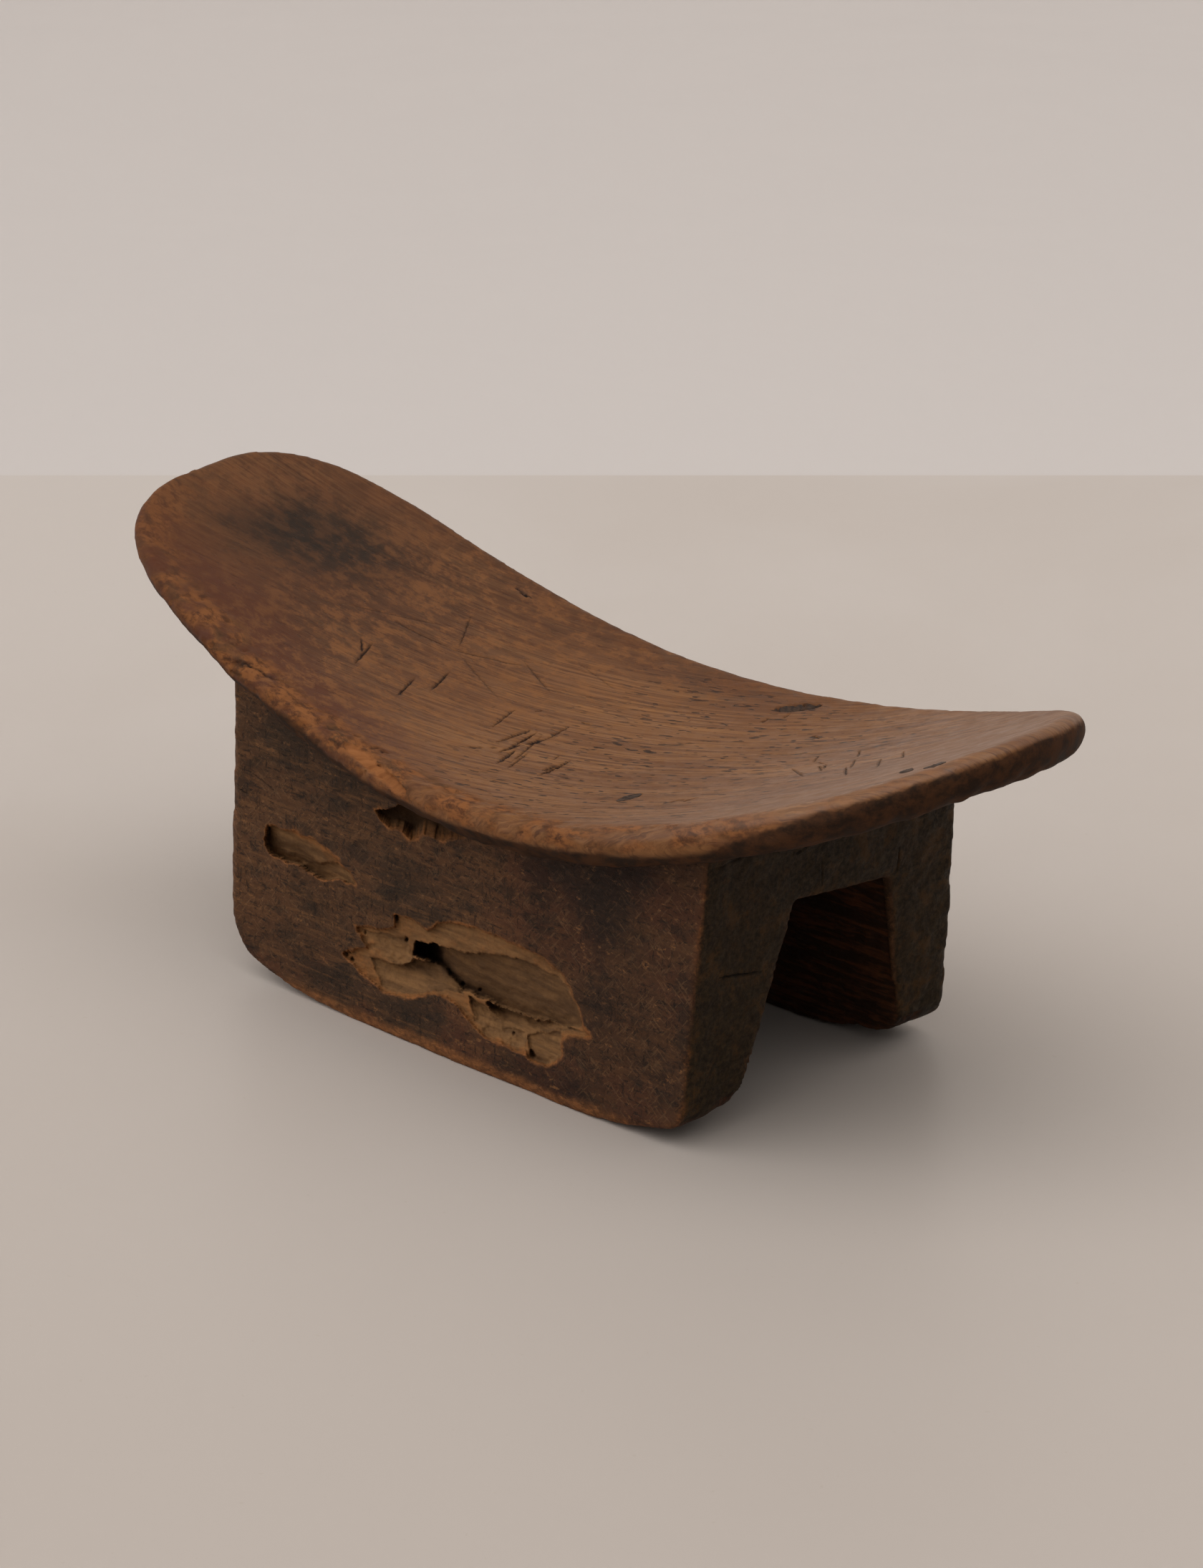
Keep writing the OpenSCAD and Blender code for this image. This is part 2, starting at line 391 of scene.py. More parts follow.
def saddle_loft():
    """The saddle's CAD rule, as closed rings finer than the CAD model's."""
    turn = np.linspace(0, 2 * math.pi, OUTLINE_N, endpoint=False)
    x = HALF_L * np.cos(turn)
    y = np.where(np.sin(turn) < 0, -1, 1) * half_width(x)
    rings = []

    def ring(inset, fraction, height):
        px = x * (1 - inset / HALF_L) * fraction
        py = y * (1 - inset / HALF_W) * fraction
        rings.append(np.stack([px, py, height(px, py)], 1))

    # The nose is a full round at the low end. Elsewhere it is a tight round above a bevel.
    round_nose = smoothstep(70, 150, x)
    crest_in = mix(NOSE_IN, NOSE_R, round_nose)
    for f in np.linspace(0.04, 1, TOP_STEPS, endpoint=False):
        ring(crest_in, f, lambda px, py: rim_z(px, py) - DISH * (1 - f * f))
    for a in np.linspace(math.pi / 2, 0, NOSE_STEPS):
        inset = crest_in * (1 - math.cos(a))
        ring(inset, 1, lambda px, py: rim_z(px, py) - NOSE_HIGH * rim_thickness(px) * (1 - math.sin(a)))
    for s in np.linspace(0, 1, BEVEL_STEPS)[1:]:
        inset = mix(BEVEL_IN * s**1.4, NOSE_R * (1 - math.sqrt(1 - s * s)), round_nose)
        ring(inset, 1, lambda px, py: rim_z(px, py) - rim_thickness(px) * mix(NOSE_HIGH, 1, s))
    inset = mix(BEVEL_IN, NOSE_R, round_nose)
    for f in np.linspace(1, 0.04, UNDER_STEPS)[1:]:
        ring(inset, f, lambda px, py: rim_z(px, py) - rim_thickness(px) - BELLY * (1 - f * f))

    n = OUTLINE_N
    around = [(i, (i + 1) % n) for i in range(n)]
    starts = [r * n for r in range(len(rings) - 1)]
    faces = [(a + i, a + n + i, a + n + j, a + j) for a in starts for i, j in around]
    faces.append(tuple(range(n)))
    faces.append(tuple(range((len(rings) - 1) * n, len(rings) * n))[::-1])
    mesh = bpy.data.meshes.new("saddle_loft")
    mesh.from_pydata((np.concatenate(rings) * MM).tolist(), [], faces)
    mesh.update()
    return mesh


def over_nose(points):
    """A height that keeps growing as a point goes up the nose and in over the crest."""
    x, y, z = points.T
    return z - rim_z(x, y) + HALF_W * np.clip(1 - outwardness(x, y), 0, 0.25)


def rim_band(points):
    """Where the saddle's edge has worn: along the crest and the nose, most on the near side."""
    x, y, z = points.T
    out = outwardness(x, y)
    side = mix(0.25, 1, smoothstep(20, -60, y)) * mix(1, 0.35, smoothstep(140, 220, x))
    side = side * mix(0.55, 1, smoothstep(-225, -150, x))
    high = over_nose(points) + 2.5 * layered(points, 18, 60, 3)
    inner = mix(14, 8, np.maximum(smoothstep(20, 100, x), smoothstep(-160, -210, x)))
    return side * smoothstep(inner + 5, inner - 4, high) * smoothstep(-10, -7, high) * (out > 0.75)


def flake(points):
    """A long pale flake lost from the near rim, as how far inside it a point is."""
    q = np.stack([points[:, 0], over_nose(points)], 1)
    edge = [
        (-60, 3), (-54, 8), (-44, 7), (-30, 3), (-18, 0),
        (-12, -4), (-18, -7), (-32, -5), (-46, -3), (-56, -1),
    ]
    q = q + 0.9 * np.stack([layered(points, 6, 71, 2), layered(points, 6, 73, 2)], 1)
    return np.where(points[:, 1] < -80, inside_by(q, edge), OUTSIDE)


def carve_saddle(mesh):
    points = coords(mesh)
    q = points[:, :2]
    seat = points[:, 2] > rim_z(points[:, 0], points[:, 1]) - DISH - 3
    marks = SEAT_CUTS + SEAT_SCRATCHES
    close = near_marks(q, marks, 1.8) & seat
    for name in KNOTS:
        close |= (np.abs(knot_inside(q, name) * min(KNOTS[name][2:4]) / 2) < 1.5) & seat
    close |= np.abs(flake(points)) < 2
    close |= to_line(q, RIM_CRACK)[0] < 3
    refine(mesh, close, MARK_CUTS)

    points = coords(mesh)
    pairs = edge_pairs(mesh)
    points = relax(points, pairs, 2)
    set_coords(mesh, points)
    up = normals(mesh)
    x, y, z = points.T
    q = points[:, :2]
    top = smoothstep(0.1, 0.5, up[:, 2])
    under = smoothstep(0.1, 0.5, -up[:, 2])
    band = rim_band(points)
    out = outwardness(x, y)

    # The carver's hand: long shallow undulations, and knife facets underneath
    depth = 0.5 * layered(points, (70, 45, 45), 3, 3)
    depth += under * (0.9 * layered(points, (26, 12, 26), 5, 2) + 0.35 * noise(points, 5, 6))
    # Wear along the near rim: dents, pits and a pale flake
    dents = smoothstep(0.05, 0.75, layered(points, (13, 9, 7), 11, 3))
    pits = smoothstep(0.45, 0.8, layered(points, (4, 3, 3), 15, 2))
    calm = mix(0.35, 1, smoothstep(-215, -170, x))
    depth += calm * band * (1.3 * dents + 0.8 * pits + 0.3 * layered(points, 2.2, 19, 2))
    depth += 0.3 * smoothstep(0.93, 1, out) * smoothstep(0.2, 0.8, layered(points, (30, 30, 14), 21, 2))
    lost = flake(points)
    flat = smoothstep(-0.3, 0.5, lost)
    depth = mix(depth, 1.7 + 0.25 * layered(points, (9, 3, 3), 23, 2), flat)
    # Open grain on the seat, and the marks
    seat = top * smoothstep(0.96, 0.9, out)
    depth += seat * 0.07 * layered(points, (60, 2.4, 2.4), 27, 2)
    cuts = groove(points, q, SEAT_CUTS) * seat
    lines = groove(points, q, SEAT_SCRATCHES) * seat
    # A jagged split along the near rim, and a few pits
    jagged = q + 1.6 * np.stack([layered(points, 7, 43, 3), layered(points, 7, 47, 3)], 1)
    split, along = to_line(jagged, RIM_CRACK)
    fissure = top * smoothstep(1.5, 0.3, split) * bump(along, 0.45, 0.6)
    for px, py, radius in RIM_PITS:
        away = np.hypot(*(jagged - (px, py)).T)
        fissure = np.maximum(fissure, top * smoothstep(radius, 0.4 * radius, away))
    depth += cuts + lines + 1.3 * fissure
    sunk = np.zeros(len(points))
    for name, (_, _, _, width, _, drop) in KNOTS.items():
        wobble = 0.06 * noise(points, 4, 31)
        inside = knot_inside(q, name) + wobble
        sunk = np.maximum(sunk, top * drop * smoothstep(-0.05, 1.0 / width + 0.08, inside))
    depth += sunk
    shaped = points - up * depth[:, None]
    # The high end is cut a little askew: its near side reaches further and droops
    shaped[:, 0] += END_SKEW * y * smoothstep(-150, -250, x)
    shaped[:, 2] -= END_DROOP * smoothstep(-165, -245, x) * smoothstep(30, -55, y)
    set_coords(mesh, shaped)

    worn = band * smoothstep(-0.55, 0.25, layered(points, (16, 11, 8), 33, 4))
    # Painted shade on the nose's lower side; together with the faces that look down it is kept as under
    start = mix(-13, -3, np.maximum(smoothstep(140, 215, x), bump(x, -95, 60)))
    nose_shade = smoothstep(start, start - 2.5, over_nose(points) + 1.3 * layered(points, 9, 37, 3))
    keep(mesh, "worn", np.maximum(worn, flat))
    keep(mesh, "raw", flat)
    # Painted shade in the cuts, scratches, split and pits
    keep(mesh, "cut", np.maximum(np.maximum(cuts / 0.6, lines / 0.5), 0.85 * fissure))
    keep(mesh, "under", np.maximum(nose_shade, under))


# ---- Base -----------------------------------------------------------------

# Decayed hollows in the near face, as (x, z) seen from the near side. Each scoop
# has a low edge and an up edge that share their ends. Its depth along each edge is
# given as (x, depth) and blends from one edge to the other. Later scoops cut into
# earlier ones.
# A scoop's dark is the share of shade painted inside it
HOLLOW = [
    # The torn plate all round the large hollow
    dict(
        low=[
            (-72, 30), (-62, 26), (-53, 24), (-45, 20), (-27, 22), (-15, 28), (-4, 30), (3, 28),
            (14, 21), (23, 18), (41, 18), (48, 19), (52, 16), (60, 16), (69, 22), (70, 33), (87, 38),
        ],
        up=[
            (-72, 30), (-66, 34), (-56, 38), (-64, 46), (-50, 49), (-37, 53), (-38, 59), (-28, 60),
            (-17, 58), (-4, 66), (14, 68), (33, 67), (54, 66), (66, 62), (74, 55), (80, 48), (81, 41),
            (87, 38),
        ],
        low_depth=[(-72, 2.2), (87, 2.6)], up_depth=[(-72, 2.5), (0, 3.2), (87, 2.6)],
        soft=0.7, rough=0.4,
    ),
    # A crumbling tongue at the left
    dict(
        low=[(-64, 44), (-49, 38), (-34, 36), (-25, 42)],
        up=[(-64, 44), (-50, 47), (-31, 50), (-25, 42)],
        low_depth=[(-64, 2), (-25, 4)], up_depth=[(-64, 3), (-25, 5.5)], soft=0.8, rough=0.7,
    ),
    # The smooth shelf under the tongue
    dict(
        low=[(-54, 34), (-45, 22), (-27, 24), (-4, 33), (7, 35)],
        up=[(-54, 34), (-34, 36), (-25, 41), (-4, 44), (7, 35)],
        low_depth=[(-54, 3), (-27, 3.5), (7, 5)],
        up_depth=[(-54, 5), (-34, 8), (-25, 11), (-4, 13), (7, 9)],
        soft=1.0, rough=0.3,
    ),
    # Crumbling ledges below the deep part
    dict(
        low=[(10, 34), (14, 23), (23, 19), (47, 20), (48, 28)],
        up=[(10, 34), (18, 33), (35, 27), (48, 28)],
        low_depth=[(10, 3), (48, 3)], up_depth=[(10, 7), (48, 7.5)], soft=1.0, rough=0.9,
    ),
    dict(
        low=[(20, 34), (33, 26), (48, 28), (70, 36), (85, 39)],
        up=[(20, 34), (34, 34.5), (51, 35), (71, 38), (85, 39)],
        low_depth=[(20, 6), (33, 6), (48, 5), (85, 2.5)],
        up_depth=[(20, 13), (34, 12), (51, 10), (71, 6), (85, 3)],
        soft=0.7, rough=0.3,
    ),
    # A square notch with a beetle hole at its foot
    dict(
        low=[(48, 27), (52, 17), (60, 17), (69, 23), (69, 35)],
        up=[(48, 27), (58, 31), (69, 35)],
        low_depth=[(48, 4.2), (69, 4)], up_depth=[(48, 4.2), (69, 4)], soft=0.7, rough=0.4,
    ),
    # The deep part: a hole at the left that turns into a smooth valley,
    # whose floor is its low edge, with shade painted in the hole and the valley
    dict(
        low=[(-26, 43), (-15, 43), (-4, 42), (7, 36), (22, 35.5), (34, 35), (51, 36), (71, 38), (82, 41)],
        up=[
            (-26, 43), (-24, 50), (-12, 52), (2, 53), (33, 60),
            (52, 61), (66, 59), (74, 53), (80, 47), (82, 41),
        ],
        low_depth=[
            (-26, 20), (-16, 22), (-9, 19), (-4, 16), (7, 14), (34, 12), (51, 10), (71, 7), (82, 3.5),
        ],
        up_depth=[(-26, 20), (-16, 21), (-11, 16), (-5, 10), (2, 8), (33, 5.5), (52, 4.5), (80, 3)],
        soft=0.6, rough=0.3, power=0.8, ribs=0.2, dark=0.34,
    ),
    # A leaf-shaped hollow, deepest along its lower edge, with shade painted inside it
    dict(
        low=[
            (-126, 78), (-127, 71), (-124, 66), (-116, 65), (-103, 66),
            (-96, 63), (-87, 63), (-75, 66), (-65, 66),
        ],
        up=[(-126, 78), (-120, 79), (-107, 81), (-92, 81), (-82, 77), (-69, 72), (-65, 66)],
        low_depth=[(-127, 9), (-116, 11), (-100, 11), (-87, 8), (-65, 3)],
        up_depth=[(-126, 4), (-107, 2), (-65, 2)],
        soft=0.6, rough=0.2, power=0.7, ribs=0.2, dark=0.2,
    ),
    dict(
        low=[(-102, 66), (-96, 63), (-87, 63), (-75, 66), (-66, 67)],
        up=[(-102, 66), (-90, 70), (-77, 74), (-69, 71), (-66, 67)],
        low_depth=[(-102, 11), (-87, 9), (-66, 3)],
        up_depth=[(-102, 8), (-77, 5), (-66, 3)],
        soft=0.6, rough=0.2,
    ),
    # A hollow close under the rim, with heavy shade painted inside it
    dict(
        low=[
            (-54, 105), (-50, 102), (-44, 100), (-36, 99), (-30, 98),
            (-26, 99), (-22, 102), (-12, 103), (4, 107),
        ],
        up=[(-54, 105), (-46, 106), (-38, 112), (-14, 113), (4, 107)],
        low_depth=[(-54, 5), (-44, 7), (-30, 12), (-12, 12), (4, 7)],
        up_depth=[(-54, 6), (-38, 12), (-14, 14), (4, 8)],
        soft=0.6, rough=0.4, dark=0.7,
    ),
]
# Beetle holes and crumbled pits: x, z, radius and depth
PITS = [
    (-70, 31, 1.2, 2), (-66, 29, 1.4, 2.2), (-68, 33, 1.0, 1.8), (-31, 50, 1.5, 4), (-37, 58, 1.4, 3),
    (52, 19, 1.6, 3.5), (-58, 44, 0.9, 1.5), (12, 31, 1.0, 2), (40, 24, 1.0, 2), (-125, 78, 1.1, 3),
    (6, 38, 1.3, 2.5), (-2, 41, 1.1, 2.5), (17, 38, 1.0, 2),
]
# Drying cracks on the near face as (x, z), and on the +X end as (y, z)
NEAR_CRACKS = [(-140, 102, -118, 96, 0.5, 0.7), (-150, 92, -138, 90, 0.5, 0.8)]
END_CRACKS = [
    (-82, 132, -47, 133, 0.5, 1.2), (-28, 123, -16, 126, 0.5, 1.0), (-9, 117, -8, 102, 0.5, 1.2),
    (43, 109, 44, 92, 0.5, 1.2), (-76, 79, -39, 72, 0.6, 1.6),
]


# The mouth of the deep hole and the crease that leads out of it, where shade is painted
HOLE = [(-25, 43), (-25, 50), (-14, 52), (-8, 49), (-7, 45), (-13, 43)]
CREASE = [(-6, 43), (4, 38.5), (14, 36.5), (28, 35.5)]


def scoop(q, points, low, up, low_depth, up_depth, soft, rough, power=1.0, ribs=0.0, dark=0.0):
    """How much of each point is inside the scoop, the depth there, and how much shade is painted there.
    """
    inside = inside_by(q, list(low) + list(up)[-2:0:-1])
    to_low, _ = to_line(q, low)
    to_up, _ = to_line(q, up)
    t = to_low / (to_low + to_up + 0.01)
    depth = mix(np.interp(q[:, 0], *zip(*low_depth)), np.interp(q[:, 0], *zip(*up_depth)), t**power)
    depth = depth + rough * layered(points, (5, 5, 3), 81, 3)
    depth = depth + ribs * np.sin(to_low * 1.1 + 2.5 * noise(points, (30, 9, 12), 85))
    return smoothstep(-soft / 2, soft / 2, inside), depth, inside, dark


def hollow_depth(points):
    """At each point: depth of decay behind the near face, rot, reach into a hollow, and painted shade."""
    wander = np.stack([layered(points, (9, 9, 5), 91, 4), layered(points, (9, 9, 5), 95, 4)], 1)
    q = points[:, [0, 2]] + 1.1 * wander
    depth, rot, painted_shade = np.zeros((3, len(points)))
    reach = np.full(len(points), OUTSIDE)
    for shape in HOLLOW:
        share, deep, inside, dark = scoop(q, points, **shape)
        depth = mix(depth, np.maximum(deep, 0), share)
        painted_shade = mix(painted_shade, dark, share)
        rot = np.maximum(rot, share)
        reach = np.maximum(reach, inside)
    for x, z, radius, deep in PITS:
        away = np.hypot(q[:, 0] - x, q[:, 1] - z)
        depth += deep * smoothstep(radius * 1.2, radius * 0.5, away)
    return depth, rot, reach, painted_shade


def base_blank():
    """The three base nodes as one shell. The legs run a little way into the bridge."""
    work = bmesh.new()
    overlap = LEG_OVERLAP * MM
    for name in ("bridge", "near_leg", "far_leg"):
        start = len(work.verts)
        work.from_mesh(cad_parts[name].data)
        work.verts.ensure_lookup_table()
        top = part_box(name)[1].z
        for vert in work.verts[start:]:
            if name == "bridge" and vert.co.z > (NEAR_PART + 2 * LEG_OVERLAP) * MM:
                vert.co.z += overlap
            if name != "bridge" and vert.co.z > top - 0.1 * MM:
                vert.co.z += overlap
    mesh = bpy.data.meshes.new("base_blank")
    work.to_mesh(mesh)
    work.free()
    return mesh


def facing(direction, axis, sign):
    return smoothstep(0.6, 0.85, sign * direction[:, axis])


def carve_base(mesh):
    pairs = edge_pairs(mesh)
    sharp = coords(mesh)
    set_coords(mesh, relax(sharp, pairs, int(round(EDGE_ROUNDING / BASE_VOXEL**2))))
    points, out = coords(mesh), normals(mesh)
    on_near = (out[:, 1] < -0.6) & (points[:, 1] < NEAR_FACE_Y)
    _, _, reach, _ = hollow_depth(points)
    close = on_near & (reach > -2.5)
    close |= on_near & near_marks(points[:, [0, 2]], NEAR_CRACKS, 2)
    on_end = (out[:, 0] > 0.6) & (points[:, 0] > END_FACE_X)
    close |= on_end & near_marks(points[:, [1, 2]], END_CRACKS, 2)
    refine(mesh, close, 1)

    points, pairs = coords(mesh), edge_pairs(mesh)
    out = normals(mesh)
    x, y, z = points.T
    near = facing(out, 1, -1) * (y < NEAR_FACE_Y)
    end = facing(out, 0, 1) * (x > END_FACE_X)
    past = np.maximum(np.maximum(TUNNEL_FOOT_NEAR_Y - y, y - TUNNEL_FOOT_FAR_Y), z - TUNNEL_TOP_Z)
    tunnel = smoothstep(12, 3, past) * (np.abs(x) < TUNNEL_HALF_L)
    tunnel = tunnel * (1 - near) * (1 - facing(out, 1, 1) * (y > FAR_FACE_Y))
    # Worn edges stand proud of their neighbours' average
    blur = relax(points, pairs, int(round(EDGE_BLUR / BASE_VOXEL**2)))
    proud = ((points - blur) * out).sum(1)

    depth = 0.7 * layered(points, (60, 40, 40), 103, 3) - 0.8 * (1 - tunnel)
    depth += 0.16 * layered(points, (14, 4, 4), 107, 3)
    # Adze facets: broad scallops in the tunnel and softer ones on the ends
    scallop = np.abs(noise(points, (17, 11, 11), 111))
    depth += tunnel * (1.6 * scallop + 0.5 * noise(points, (5, 3, 3), 113))
    depth += end * (0.9 * np.abs(noise(points, (11, 13, 9), 115)) + 0.25 * noise(points, 4, 117))
    # Chips along the worn edges
    chipped = smoothstep(0.5, 2.0, proud) * smoothstep(0.0, 0.7, layered(points, (9, 9, 9), 121, 3))
    depth += 0.6 * chipped
    hollow, rot, reach, painted_shade = hollow_depth(points)
    cracks = groove(points, points[:, [0, 2]], NEAR_CRACKS) * near
    cracks += groove(points, points[:, [1, 2]], END_CRACKS) * end
    depth += cracks
    shaped = points - out * depth[:, None]
    # Decay runs in along its slant, and level close under the saddle
    run = hollow * smoothstep(0.0, 0.3, near)
    sideways, inwards, downwards = DECAY_RUN
    shaped[:, 0] += run * sideways
    shaped[:, 1] += run * inwards
    shaped[:, 2] += run * downwards * smoothstep(100, 92, z)
    # The -X end swells a little at mid height
    shaped[:, 0] -= 2.5 * facing(out, 0, -1) * bump(z, 75, 70)
    shaped[:, 2] = np.maximum(shaped[:, 2], 0)
    set_coords(mesh, shaped)

    keep(mesh, "rot", rot * near)
    wander = np.stack([layered(points, 6, 131, 3), layered(points, 6, 135, 3)], 1)
    flat = points[:, [0, 2]] + 0.8 * wander
    # Painted shade in the hole's mouth and along the crease out of it
    hole_and_crease_shade = smoothstep(-1.6, 0.2, inside_by(flat, HOLE)) * smoothstep(2.5, 5, hollow)
    away, along = to_line(flat, CREASE)
    crease_shade = mix(0.85, 0.25, along) * smoothstep(3.0, 0.3, away) * smoothstep(4, 8, hollow)
    hole_and_crease_shade = np.maximum(hole_and_crease_shade, crease_shade)
    # Painted shade: darker the deeper the decay, and as each scoop's dark share gives
    keep(mesh, "deep", np.maximum(smoothstep(5, 20, hollow), painted_shade) * near)
    keep(mesh, "hole_and_crease_shade", hole_and_crease_shade * near)
    ragged = reach + 0.7 * layered(points, 9, 127, 3)
    keep(mesh, "lip", near * smoothstep(-1.5, -0.2, ragged) * smoothstep(3.5, 1.5, hollow))
    worn = smoothstep(0.6, 2.0, proud + 0.7 * layered(points, 14, 125, 3))
    sheltered = np.maximum(np.maximum(tunnel, 0.6 * smoothstep(0, 0.5, end)), smoothstep(-60, 10, y))
    worn = worn * mix(1, 0.35, sheltered)
    ragged = 1.5 * layered(points, 12, 129, 3)
    sole = smoothstep(8, 3, z + ragged) * (y < -80)
    heel = smoothstep(-147, -152, x + ragged) * (y < -60) * smoothstep(110, 80, z)
    keep(mesh, "worn", np.maximum(worn, 0.8 * heel))
    keep(mesh, "sole", sole)
    keep(mesh, "tunnel", tunnel)
    keep(mesh, "end", end)
    # Painted shade in the drying cracks
    keep(mesh, "cut", cracks)


def part_off(mesh, name, belongs):
    """A closed copy of the faces of one piece."""
    work = bmesh.new()
    work.from_mesh(mesh)
    gone = [f for f in work.faces if not belongs(f.calc_center_median() / MM)]
    bmesh.ops.delete(work, geom=gone, context="FACES")
    open_edges = [e for e in work.edges if e.is_boundary]
    for edge in open_edges:
        edge.smooth = False
    bmesh.ops.holes_fill(work, edges=open_edges, sides=0)
    piece = bpy.data.meshes.new(name)
    work.to_mesh(piece)
    work.free()
    return piece


def in_near_leg(c):
    return c.z < NEAR_PART and c.y < TUNNEL_NEAR_Y


def in_far_leg(c):
    return c.z < FAR_PART and c.y > TUNNEL_FAR_Y


def split_base(mesh):
    """Cuts the carved skin along the CAD parting planes."""
    work = bmesh.new()
    work.from_mesh(mesh)
    sides = [
        (NEAR_PART, lambda v: v.co.y < TUNNEL_NEAR_Y * MM),
        (FAR_PART, lambda v: v.co.y > TUNNEL_FAR_Y * MM),
    ]
    for height, on_side in sides:
        faces = [f for f in work.faces if all(on_side(v) for v in f.verts)]
        edges = list({e for f in faces for e in f.edges})
        verts = list({v for f in faces for v in f.verts})
        bmesh.ops.bisect_plane(
            work, geom=verts + edges + faces, plane_co=(0, 0, height * MM), plane_no=(0, 0, 1), dist=1e-7
        )
    work.to_mesh(mesh)
    work.free()
    return {
        "near_leg": part_off(mesh, "near_leg", in_near_leg),
        "far_leg": part_off(mesh, "far_leg", in_far_leg),
        "bridge": part_off(mesh, "bridge", lambda c: not in_near_leg(c) and not in_far_leg(c)),
    }


# ---- Knots ----------------------------------------------------------------

KNOT_POINTS = 48
KNOT_LEVELS = [1.0, 0.86, 0.6, 0.3]
KNOT_LIFT, KNOT_CROWN, KNOT_DEPTH = 0.2, 0.55, 2.4


def knot_mesh(name, seat_height):
    """A closed lens of dark wood that lines its hollow."""
    x, y, length, width, turn, _ = KNOTS[name]
    c, s = math.cos(math.radians(turn)), math.sin(math.radians(turn))
    count, last = KNOT_POINTS, len(KNOT_LEVELS) - 1
    points = []
    for bulge in (KNOT_CROWN, -KNOT_DEPTH):
        for level in KNOT_LEVELS:
            rise = bulge * math.sqrt(1 - level**2)
            for i in range(count):
                t = 2 * math.pi * i / count
                a, b = level * length / 2 * math.cos(t) * 0.98, level * width / 2 * math.sin(t) * 0.96
                px, py = x + a * c - b * s, y + a * s + b * c
                points.append((px, py, seat_height(px, py) + KNOT_LIFT + rise))
    points = np.array(points)
    points[:, 2] += 0.1 * noise(points, (3, 1.6, 3), 141)
    under = len(KNOT_LEVELS) * count
    faces = [tuple(range(last * count, under))]
    faces.append(tuple(range(under + last * count, 2 * under))[::-1])
    for level in range(last):
        for i in range(count):
            j, a, b = (i + 1) % count, level * count, (level + 1) * count
            faces.append((a + i, a + j, b + j, b + i))
            faces.append((under + b + i, under + b + j, under + a + j, under + a + i))
    faces += [(under + i, under + (i + 1) % count, (i + 1) % count, i) for i in range(count)]
    mesh = bpy.data.meshes.new(name)
    mesh.from_pydata((points * MM).tolist(), [], faces)
    mesh.update()
    return mesh


def seat_reader(mesh):
    """A function that gives the carved seat's height at a spot."""
    points, up = coords(mesh), normals(mesh)
    top = points[up[:, 2] > 0.5]
    tree = KDTree(len(top))
    for i, (x, y, _) in enumerate(top):
        tree.insert((x, y, 0), i)
    tree.balance()

    def height(x, y):
        return float(np.mean([top[i][2] for _, i, _ in tree.find_n((x, y, 0), 5)]))

    return height


# ---- Materials ------------------------------------------------------------

def tone(red, green, blue):
    """A colour given as screen values of 0-255."""
    parts = [v / 255 for v in (red, green, blue)]
    return [v / 12.92 if v <= 0.04045 else ((v + 0.055) / 1.055) ** 2.4 for v in parts] + [1]


# The grain crosses the saddle's length at this angle
GRAIN_TURN = math.radians(-21)


class Recipe:
    """One material, built with short calls. Patterns are placed in the object's own space, in metres."""

    def __init__(self, name):
        self.material = bpy.data.materials.new(name)
        self.material.use_nodes = True
        self.nodes, self.links = self.material.node_tree.nodes, self.material.node_tree.links
        self.nodes.clear()
        self.place = self.add("ShaderNodeTexCoord").outputs["Object"]

    def add(self, kind, sockets=None, **settings):
        node = self.nodes.new(kind)
        for key, value in settings.items():
            setattr(node, key, value)
        for key, value in (sockets or {}).items():
            if isinstance(value, bpy.types.NodeSocket):
                self.links.new(value, node.inputs[key])
            else:
                node.inputs[key].default_value = value
        return node

    def marked(self, name):
        return self.add("ShaderNodeAttribute", attribute_name=name).outputs["Fac"]

    def pattern(self, per_metre, detail=4.0, rough=0.55, bend=0.0, turn=(0, 0, 0)):
        turned = self.add("ShaderNodeMapping", {"Vector": self.place, "Rotation": turn})
        spread = self.add("ShaderNodeMapping", {"Vector": turned.outputs[0], "Scale": per_metre})
        sockets = {"Vector": spread.outputs[0], "Scale": 1.0, "Detail": detail, "Roughness": rough}
        made = self.add("ShaderNodeTexNoise", sockets | {"Distortion": bend})
        return made.outputs["Fac"]

    def span(self, value, low, high, to_low=0.0, to_high=1.0, smooth=True):
        kind = "SMOOTHSTEP" if smooth else "LINEAR"
        sockets = {"Value": value, "From Min": low, "From Max": high, "To Min": to_low, "To Max": to_high}
        return self.add("ShaderNodeMapRange", sockets, interpolation_type=kind).outputs[0]

    def maths(self, operation, a, b):
        return self.add("ShaderNodeMath", {0: a, 1: b}, operation=operation).outputs[0]

    def times(self, *values):
        total = values[0]
        for value in values[1:]:
            total = self.maths("MULTIPLY", total, value)
        return total

    def blend(self, share, a, b):
        return self.add("ShaderNodeMix", {0: share, 6: a, 7: b}, data_type="RGBA").outputs[2]

    def finish(self, colour, roughness, height, strength, distance, sheen=0.5):
        lumps = self.add("ShaderNodeBump", {"Height": height, "Strength": strength, "Distance": distance})
        surface = self.add(
            "ShaderNodeBsdfPrincipled",
            {
                "Base Color": colour,
                "Roughness": roughness,
                "Normal": lumps.outputs[0],
                "Specular IOR Level": sheen,
            },
        )
        self.add("ShaderNodeOutputMaterial", {"Surface": surface.outputs[0]})
        return self.material


